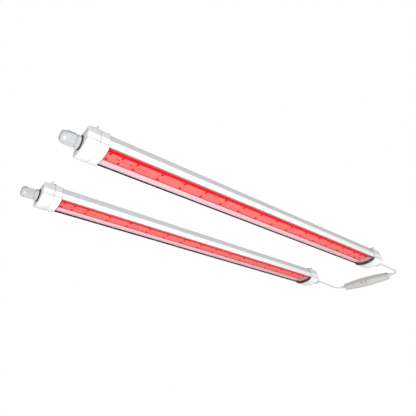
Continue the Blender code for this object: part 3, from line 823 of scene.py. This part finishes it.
def board_mesh():
    """Long circuit board with softened edges."""
    half = BOARD_HALF_WIDTH
    outline = [(-half, BOARD_FACE), (half, BOARD_FACE), (half, BOARD_FACE + BOARD_THICKNESS),
               (-half, BOARD_FACE + BOARD_THICKNESS)]
    return sheet_along_x("board", outline, INNER_HALF_LENGTH - GAP, 0.0002)


def on_leds(mesh, z):
    """A mesh at every LED, at one height, as (mesh, matrix) pairs."""
    return [(mesh, Matrix.Translation((x, y, z))) for x in led_places() for y in (-LED_ROW, LED_ROW)]


def led_base_mesh():
    """Square packages of the LEDs, two rows on the board."""
    base = pebble("led_base", (LED_SIDE, LED_SIDE, 0.0007), 0.0004)
    return finish_mesh("led_bases", bodies_of(on_leds(base, BOARD_FACE)), 50)


def led_dome_mesh():
    """Silicone domes of the LEDs."""
    steps, rings, depth = 20, 5, 0.0016
    around = [2 * pi * i / steps for i in range(steps)]
    loops = []
    for k in range(rings + 1):
        angle = pi / 2 * k / (rings + 0.5)
        reach = LED_DOME_RADIUS * cos(angle)
        loops.append([(reach * cos(a), reach * sin(a), -depth * sin(angle)) for a in around])
    dome = skin("led_dome", loops, smooth_angle=60)
    return finish_mesh("led_domes", bodies_of(on_leds(dome, BOARD_FACE - 0.00075)), 60)


def chip_mesh():
    """Parts and long bridges on the board's middle line, near its first end."""
    part = pebble("part", (0.0034, 0.0042, 0.0008), 0.0003)
    regulator = pebble("regulator", (0.0042, 0.0046, 0.0014), 0.0004)
    bridges = [pebble("bridge", (0.0017, length, 0.0004), 0.0001) for length in (0.017, 0.008, 0.033)]
    second = led_places()[1]
    spots = [(part, -0.0115, -0.0028), (part, -0.0042, -0.0019), (bridges[0], 0.0108, -0.0009),
             (regulator, 0.0272, -0.0011), (bridges[1], 0.0349, -0.0026), (bridges[2], 0.0570, 0.0)]
    placed = [(mesh, Matrix.Translation((second + x, y, BOARD_FACE))) for mesh, x, y in spots]
    return finish_mesh("board_chips", bodies_of(placed), 50)


# Pieces at a tube's end, in the end's own frame


def collar_mesh():
    """Sleeve with rounded edges over the ends of housing and window."""
    profile = [(COLLAR_START, CAP_PROUD), (COLLAR_END, CAP_PROUD), (COLLAR_END, GAP), (COLLAR_START, GAP)]
    loops = [section(x, grow) for x, grow in soften(profile, GROOVE_CHAMFER, 4)]
    return skin("collar", loops, ring=True, creases=shoulder_creases())


def ear_mesh(side):
    """Ear on the cap for one foot of the bail, with a flared root."""
    base = BODY_TOP + CAP_PROUD - 0.0004
    radius = 0.0045
    root = 0.0022
    half = 0.0020
    quarter = [pi / 2 * k / 4 for k in range(5)]
    flare = [(radius + root * (1 - sin(a)), base + 0.0004 + root * (1 - cos(a))) for a in quarter]
    round_top = [pi * i / 16 for i in range(17)]
    outline = [(LUG_X - radius - root, base), (LUG_X + radius + root, base)]
    outline += [(LUG_X + out, z) for out, z in flare]
    outline += [(LUG_X + radius * cos(a), PIVOT_HEIGHT + radius * sin(a)) for a in round_top]
    outline += [(LUG_X - out, z) for out, z in flare[::-1]]
    edge = 0.0004
    centre = Vector((LUG_X, PIVOT_HEIGHT))
    loops = []
    for inset, y in ((edge, -half), (0.3 * edge, -half + 0.3 * edge), (0, -half + edge),
                     (0, half - edge), (0.3 * edge, half - 0.3 * edge), (edge, half)):
        loop = []
        for point in outline:
            away = Vector(point) - centre
            x, z = centre + away * (1 - inset / radius) if point[1] > base else Vector(point)
            loop.append((x, side * LUG_Y + y, z))
        loops.append(loop)
    return skin("ear", loops, smooth_angle=40)


def cap_mesh():
    """Closed cap with a rounded rim, a hole for the gland and two ears."""
    rim = 0.0040
    wall = 0.003
    loops = [section(-wall, GAP), section(-CAP_LENGTH, GAP),
             section(-CAP_LENGTH, CAP_PROUD - GROOVE_CHAMFER),
             section(-CAP_LENGTH + 0.0004, CAP_PROUD - 0.0005),
             section(-CAP_LENGTH + GROOVE_CHAMFER, CAP_PROUD)]
    for k in range(7):
        angle = pi / 2 * k / 6
        loops.append(section(-rim + rim * sin(angle), CAP_PROUD - rim + rim * cos(angle)))
    body = skin("cap", loops, creases=shoulder_creases())
    across = LUG_Y + 0.004
    tools = [("UNION", ear_mesh(-1)), ("UNION", ear_mesh(1)),
             ("DIFFERENCE", rod("pin_hole", (LUG_X, -across, PIVOT_HEIGHT), (LUG_X, across, PIVOT_HEIGHT),
                                WIRE_RADIUS + GAP, 24)),
             ("DIFFERENCE", rod("gland_hole", (-2 * wall, 0, GLAND_HEIGHT), (wall, 0, GLAND_HEIGHT),
                                SHANK_RADIUS + GAP, 72))]
    return evaluated(body, tools)


def gasket_mesh():
    """Flat rubber washer with a bulged rim."""
    inner = SHANK_RADIUS + GAP
    points = [(GAP, 0.0180), (0.0028, 0.0180), (0.0028, inner), (GAP, inner)]
    return turned_x("gasket", plain_profile(points, 0.0009), GLAND_HEIGHT)


def gland_body_mesh():
    """Threaded shank, chamfered hexagon, and the threaded neck that the nut turns on."""
    corner = 0.0174
    full = corner + 0.0002
    bore = 0.0088
    spigot = 0.0125
    profile = [(-0.012, bore + 0.0003, 0), (-0.012, 0.0117, 0)]
    for k in range(8):
        profile.append((-0.0115 + 0.0015 * k, 0.0117, 0))
        profile.append((-0.0107 + 0.0015 * k, SHANK_RADIUS, 0))
    profile += [(0.0004, 0.0121, 0), (0.0031, 0.0121, 0), (0.0031, 0.0156, corner), (0.0040, 0.0164, corner),
                (0.0043, 0.0169, corner), (0.0049, full, corner), (0.0094, full, corner),
                (0.0101, 0.0169, corner), (0.0105, 0.0163, corner), (0.0110, 0.0152, corner),
                (0.0110, 0.0141, 0), (0.0114, 0.0137, 0),
                (0.0120, 0.0140, 0), (0.0126, 0.0136, 0), (0.0132, 0.0140, 0), (0.0138, 0.0136, 0),
                (0.0140, spigot, 0), (0.0256, spigot, 0), (0.0260, spigot - 0.0004, 0), (0.0260, bore, 0)]
    return turned_x("gland_body", profile, GLAND_HEIGHT, turn=radians(11))


def gland_insert_mesh():
    """Rubber sleeve that seals round the cable."""
    points = [(0.0155, 0.0083), (0.0400, 0.0083), (0.0400, 0.0038), (0.0155, 0.0038)]
    return turned_x("gland_insert", plain_profile(points, 0.0008), GLAND_HEIGHT)


def gland_nut_mesh(turn):
    """Six-sided clamping nut with a domed nose, drawn about its own axis."""
    corner = 0.0177
    full = corner + 0.0002
    profile = [(0.0143, 0.0129, 0), (0.0143, 0.0158, corner), (0.0147, 0.0166, corner),
               (0.0152, 0.0172, corner), (0.0160, full, corner), (0.0330, full, corner),
               (0.0339, 0.0173, corner), (0.0345, 0.0166, corner), (0.0349, 0.0158, 0), (0.0362, 0.0154, 0)]
    nose_start, nose_end = Vector((0.0362, 0.0154)), Vector((0.0458, 0.0104))
    bulge = Vector((0.0438, 0.0146))
    for k in range(1, 9):
        t = k / 8
        point = (1 - t) ** 2 * nose_start + 2 * t * (1 - t) * bulge + t * t * nose_end
        profile.append((point.x, point.y, 0))
    profile += [(0.0460, 0.0098, 0), (0.0460, 0.0068, 0), (0.0455, 0.0062, 0), (0.0416, 0.0062, 0),
                (0.0404, 0.0091, 0), (0.0290, 0.0091, 0), (0.0270, 0.0129, 0)]
    return turned_x("gland_nut", profile, turn=turn)


def bail_points():
    """Line of the wire loop about its own pivot, folded in towards the middle of the tube."""
    foot = LUG_Y + 0.0026
    far, drop = -BAIL_REACH, -BAIL_DROP
    corners = [(0, -foot, 0), (0, -BAIL_ARM, 0), (far, -BAIL_ARM, drop), (far, BAIL_ARM, drop),
               (0, BAIL_ARM, 0), (0, foot, 0)]
    points = [Vector(corners[0])]
    for before, corner, after in zip(corners, corners[1:], corners[2:]):
        radius = 0.008 if corner[0] else 0.0022
        corner = Vector(corner)
        back = (Vector(before) - corner).normalized() * radius
        ahead = (Vector(after) - corner).normalized() * radius
        for i in range(9):
            angle = pi / 2 * i / 8
            points.append(corner + back * (1 - sin(angle)) + ahead * (1 - cos(angle)))
    return points + [Vector(corners[-1])]


# Driver


def driver_size(t, grow):
    """Half width and half height of the case at t, from -1 at one end to 1 at the other."""
    fullness = max(0.0, cos(pi / 2 * t)) ** 0.8
    flange = 0.0009 if abs(t) > 0.972 else 0.0
    return [ends + (middle - ends) * fullness + grow + flange
            for ends, middle in (DRIVER_HALF_WIDTH, DRIVER_HALF_HEIGHT)]


def driver_point(angle, t, grow, along=None):
    """A point on the case: a rounded rectangle that is fullest in the middle."""
    width, height = driver_size(t, grow)
    across, up = cos(angle), sin(angle)
    x = width * abs(across) ** DRIVER_SQUARENESS * (1 if across > 0 else -1)
    z = height * abs(up) ** DRIVER_SQUARENESS * (1 if up > 0 else -1)
    y = t * DRIVER_HALF_LENGTH if along is None else along
    return Vector((x, y, z))


def driver_stations():
    """Places along the case, close together at the flanges."""
    edges = [0.9985, 0.995, 0.976, 0.9725, 0.9715, 0.962]
    middle = [k / 24 for k in range(-22, 23)]
    return [-1.0] + [-t for t in edges] + middle + edges[::-1] + [1.0]


def driver_shell_mesh(side):
    """One half of the case as a closed shell, with thick ends that hold the boots."""
    steps = 40
    rise = side * BOOT_RISE
    first = -asin(rise / BOOT_HOLE)
    loops = []
    for t in driver_stations():
        soft = 0.0004 if abs(t) > 0.998 else 0.0
        outer = []
        inner = []
        for k in range(steps + 1):
            angle = pi * k / steps
            inset = -soft - (0.0004 if k in (0, steps) else 0.0)
            point = driver_point(angle, t, inset)
            outer.append((point.x, point.y, side * max(point.z, GAP / 2)))
            if abs(t) * DRIVER_HALF_LENGTH > DRIVER_HALF_LENGTH - DRIVER_WALL - 0.0002:
                round_hole = first + (pi - 2 * first) * k / steps
                hollow = Vector((BOOT_HOLE * cos(round_hole), point.y, rise + BOOT_HOLE * sin(round_hole)))
            else:
                hollow = driver_point(angle, t, -DRIVER_WALL)
            inner.append((hollow.x, hollow.y, side * max(hollow.z, GAP / 2)))
        loops.append(outer + inner[::-1])
    return skin("driver_shell", loops, smooth_angle=38)


def driver_patch_mesh(name, start, end, low, high, lift):
    """A thin plate that follows the case's -X side, between two places along it and two angles."""
    columns, rows = 14, 10
    angles = [pi + low + (high - low) * k / rows for k in range(rows + 1)]
    loops = []
    for i in range(columns + 1):
        t = start + (end - start) * i / columns
        front = [driver_point(angle, t, lift) for angle in angles]
        back = [driver_point(angle, t, 0.00005) for angle in angles]
        loops.append(front + back[::-1])
    return skin(name, loops, smooth_angle=50)


def boot_mesh():
    """Ribbed strain relief with a flange inside the case, drawn along +Y from the case's end face."""
    inside = -DRIVER_WALL - 0.0005
    neck = BOOT_HOLE - 0.0004
    bore = CABLE_RADIUS + GAP
    profile = [(inside - 0.0016, 0.0078), (inside, 0.0078), (inside, neck), (0.0004, neck), (0.0004, 0.0070),
               (0.0024, 0.0070), (0.0030, 0.0066)]
    for k in range(6):
        y = 0.0036 + 0.0025 * k
        radius = 0.0063 - 0.0002 * k
        valley = radius - 0.0007
        profile += [(y, valley), (y + 0.0007, valley), (y + 0.0010, radius), (y + 0.0021, radius)]
    profile += [(BOOT_LENGTH - 0.0008, 0.0048), (BOOT_LENGTH, 0.0044), (BOOT_LENGTH, bore),
                (inside - 0.0016, bore)]
    around = [2 * pi * i / 48 for i in range(48)]
    loops = [[(radius * sin(a), y, radius * cos(a)) for a in around] for y, radius in profile]
    return skin("boot", loops, ring=True)


# Building


def build_cord(letter, finishes):
    """One length of cable, from a tube's terminal block into the driver."""
    curve = bpy.data.curves.new("cable_" + letter, "CURVE")
    curve.dimensions = "3D"
    curve.bevel_depth = CABLE_RADIUS
    curve.bevel_resolution = 6
    curve.use_fill_caps = True
    points = smooth_points(CABLE_ROUTE[letter], 0.003)
    spline = curve.splines.new("POLY")
    spline.points.add(len(points) - 1)
    for target, point in zip(spline.points, points):
        target.co = (*point, 1)
    spline.use_smooth = True
    cable = piece("cable_" + letter, curve, finishes["cable"], Matrix.Identity(4), "fixture",
                  ["link_cable_" + letter])


def along_tube_meshes():
    """The meshes that both tubes share."""
    return {
        "extrusion": extrusion_mesh(), "window": window_mesh(), "seam": seam_mesh(),
        "lipped_seam": lipped_seam_mesh(), "tray": tray_mesh(),
        "board": board_mesh(), "led_base": led_base_mesh(), "led_dome": led_dome_mesh(), "chips": chip_mesh(),
    }


def build_tube(letter, meshes, finishes):
    """Everything that runs along one tube."""
    place = Matrix.Translation((0, TUBE_Y[letter], 0))
    rows = [("extrusion", "extrusion", "housing", "housing", "housing"),
            ("window", "window", "lens", "lens", "lens_cover"),
            # The -Y bead wears the painted-lit copy of the seal rubber.
            ("seam_bead_left", "seam", "lit_seal", "seal", "seam_seal_left"),
            ("seam_bead_right", "lipped_seam", "seal", "seal", "seam_seal_right"),
            ("tray", "tray", "reflector", "reflector", "reflector_tray"),
            ("board", "board", "board", "led_board", "led_board"),
            ("led_packages", "led_base", "led_base", "led_board", None),
            ("led_domes", "led_dome", "led", "led_board", None),
            ("board_chips", "chips", "chip", "led_board", None)]
    for name, mesh, finish, slot, node in rows:
        replaced = [f"{node}_{letter}"] if node else []
        piece(f"{name}_{letter}", meshes[mesh], finishes[finish], place, "fixture", replaced)


def end_meshes():
    """The meshes that all four ends share."""
    return {
        "collar": collar_mesh(), "cap": cap_mesh(), "gasket": gasket_mesh(), "gland_body": gland_body_mesh(),
        "gland_insert": gland_insert_mesh(), "bail": swept_tube("bail", bail_points(), WIRE_RADIUS),
    }


def build_end(letter, end, side, meshes, finishes):
    """Everything at one end of a tube, on its body or on a moving body of its own."""
    spot = f"{end}_{letter}"
    turn = Matrix.Rotation(0 if side > 0 else pi, 4, "Z")
    place = Matrix.Translation((side * END_X, TUBE_Y[letter], 0)) @ turn
    rows = [("collar_sleeve", "collar", "cap", "end_plastic", "collar"),
            ("cap_moulding", "cap", "cap", "end_plastic", "end_cap"),
            ("gasket_ring", "gasket", "gasket", "gasket", "gland_gasket"),
            ("gland_barrel", "gland_body", "gland", "gland_plastic", "gland_body"),
            ("gland_sleeve", "gland_insert", "insert", "gland_rubber", "gland_insert")]
    for name, mesh, finish, slot, node in rows:
        piece(f"{name}_{spot}", meshes[mesh], finishes[finish], place, "fixture", [f"{node}_{spot}"])
    nut_place = place @ Matrix.Translation((0, 0, GLAND_HEIGHT))
    piece(f"clamp_nut_{spot}", gland_nut_mesh(NUT_TURN[spot]), finishes["gland"], nut_place,
          f"gland_nut_{spot}", [f"gland_nut_{spot}"])
    bail_place = place @ Matrix.Translation((LUG_X, 0, PIVOT_HEIGHT))
    piece(f"bail_wire_{spot}", meshes["bail"], finishes["wire"], bail_place, f"hanger_bail_{spot}",
          [f"hanger_bail_{spot}"])


def build_driver(finishes):
    """The in-line case with its label and boots."""
    place = Matrix.Translation(DRIVER_CENTRE)
    # The upper half takes the painted-shaded copy of the grey, the lower half the painted-lit copy.
    for word, side, finish in (("top", 1, "driver"), ("bottom", -1, "driver_lower_lit")):
        piece(f"case_{word}", driver_shell_mesh(side), finishes[finish], place, "fixture",
              [f"driver_shell_{word}"])
    label = driver_patch_mesh("label", -0.16, 0.16, -0.42, 0.62, 0.0004)
    piece("case_label", label, finishes["label"], place, "fixture")
    for word, middle in (("left", -0.11), ("right", 0.11)):
        stroke = driver_patch_mesh("stroke", middle - 0.012, middle + 0.012, -0.34, 0.50, 0.0006)
        piece(f"case_stroke_{word}", stroke, finishes["stroke"], place, "fixture")
    boot = boot_mesh()
    for letter, side in (("a", -1), ("b", 1)):
        turn = Matrix.Rotation(0 if side > 0 else pi, 4, "Z")
        at_end = place @ Matrix.Translation((0, side * DRIVER_HALF_LENGTH, BOOT_RISE)) @ turn
        piece(f"boot_{letter}", boot, finishes["boot"], at_end, "fixture",
              [f"driver_boot_{letter}"])


def dress_cad_nodes(finishes):
    """Better materials for the CAD nodes that stay."""
    rows = {"end_seal": "seal", "end_plate": "plate", "terminal_block": "terminal",
            "driver_board": "circuit", "driver_transformer": "winding"}
    for name, node in frame["nodes"].items():
        for start, finish in rows.items():
            if name.startswith(start):
                node.data.materials.clear()
                node.data.materials.append(finishes[finish])


# Floor and light


def make_floor():
    """Pale floor that hides nothing from a camera below it and keeps no light from the object."""
    made, tree, shader = start_material("floor_pale", 0.6)
    cloud = noise(tree, 2.0, 3.0)
    tree.links.new(ramp(tree, cloud, [(0.3, 0.80), (0.7, 0.83)]), shader.inputs["Base Color"])
    side = add(tree, "NewGeometry")
    clear = add(tree, "BsdfTransparent")
    both = add(tree, "MixShader")
    output = tree.nodes["Material Output"]
    tree.links.new(side.outputs["Backfacing"], both.inputs["Fac"])
    tree.links.new(shader.outputs["BSDF"], both.inputs[1])
    tree.links.new(clear.outputs["BSDF"], both.inputs[2])
    tree.links.new(both.outputs["Shader"], output.inputs["Surface"])
    bm = bmesh.new()
    reach = 12.0
    corners = [bm.verts.new((x, y, cad_low.z - 0.0005)) for x, y in
               ((-reach, -reach), (reach, -reach), (reach, reach), (-reach, reach))]
    bm.faces.new(corners)
    mesh = bpy.data.meshes.new("floor")
    bm.to_mesh(mesh)
    bm.free()
    mesh.materials.append(made)
    floor = bpy.data.objects.new("floor", mesh)
    bpy.context.scene.collection.objects.link(floor)
    floor.visible_diffuse = False
    floor.visible_glossy = False
    floor.visible_transmission = False
    floor.visible_shadow = False


def make_world():
    """White where the camera sees it.  What lights the object is brighter in front and below than behind."""
    world = bpy.data.worlds.new("studio")
    world.use_nodes = True
    tree = world.node_tree
    background = tree.nodes["Background"]
    background.inputs["Color"].default_value = (1.0, 1.0, 1.0, 1.0)
    coordinates = add(tree, "TexCoord")
    towards = add(tree, "VectorMath", operation="DOT_PRODUCT")
    towards.inputs[1].default_value = Vector(FRONT).normalized()
    tree.links.new(coordinates.outputs["Generated"], towards.inputs[0])
    front = maths(tree, "MULTIPLY_ADD", towards.outputs["Value"], 0.5, 0.5)
    glow = ramp(tree, front, [(0.15, BACK_LIGHT), (0.80, FRONT_LIGHT)])
    seen = add(tree, "LightPath")
    strength = maths(tree, "MAXIMUM", seen.outputs["Is Camera Ray"], glow)
    tree.links.new(strength, background.inputs["Strength"])
    bpy.context.scene.world = world


def make_lamp(name, place, aim, size, power):
    """A soft square lamp that looks at a point."""
    data = bpy.data.lights.new(name, "AREA")
    data.shape = "SQUARE"
    data.size = size
    data.energy = power
    lamp = bpy.data.objects.new(name, data)
    bpy.context.scene.collection.objects.link(lamp)
    lamp.location = place
    lamp.rotation_euler = (Vector(aim) - Vector(place)).to_track_quat("-Z", "Y").to_euler()


def make_lights():
    """One lamp in front and below, and a wider one behind and above."""
    make_world()
    make_lamp("front", (-0.95, -1.45, -1.40), (-0.15, 0.0, 0.02), 0.8, 41.0)
    make_lamp("behind", (0.5, 2.0, 2.0), (0.1, 0.0, 0.02), 1.8, 40.0)


def main():
    make_camera()
    finishes = make_materials()
    for letter in "ab":
        build_cord(letter, finishes)
    meshes = along_tube_meshes()
    ends = end_meshes()
    for letter in "ab":
        build_tube(letter, meshes, finishes)
        for end, side in (("near", -1), ("far", 1)):
            build_end(letter, end, side, ends, finishes)
    build_driver(finishes)
    dress_cad_nodes(finishes)
    make_floor()
    make_lights()
    bpy.context.scene.view_settings.view_transform = "Standard"


main()
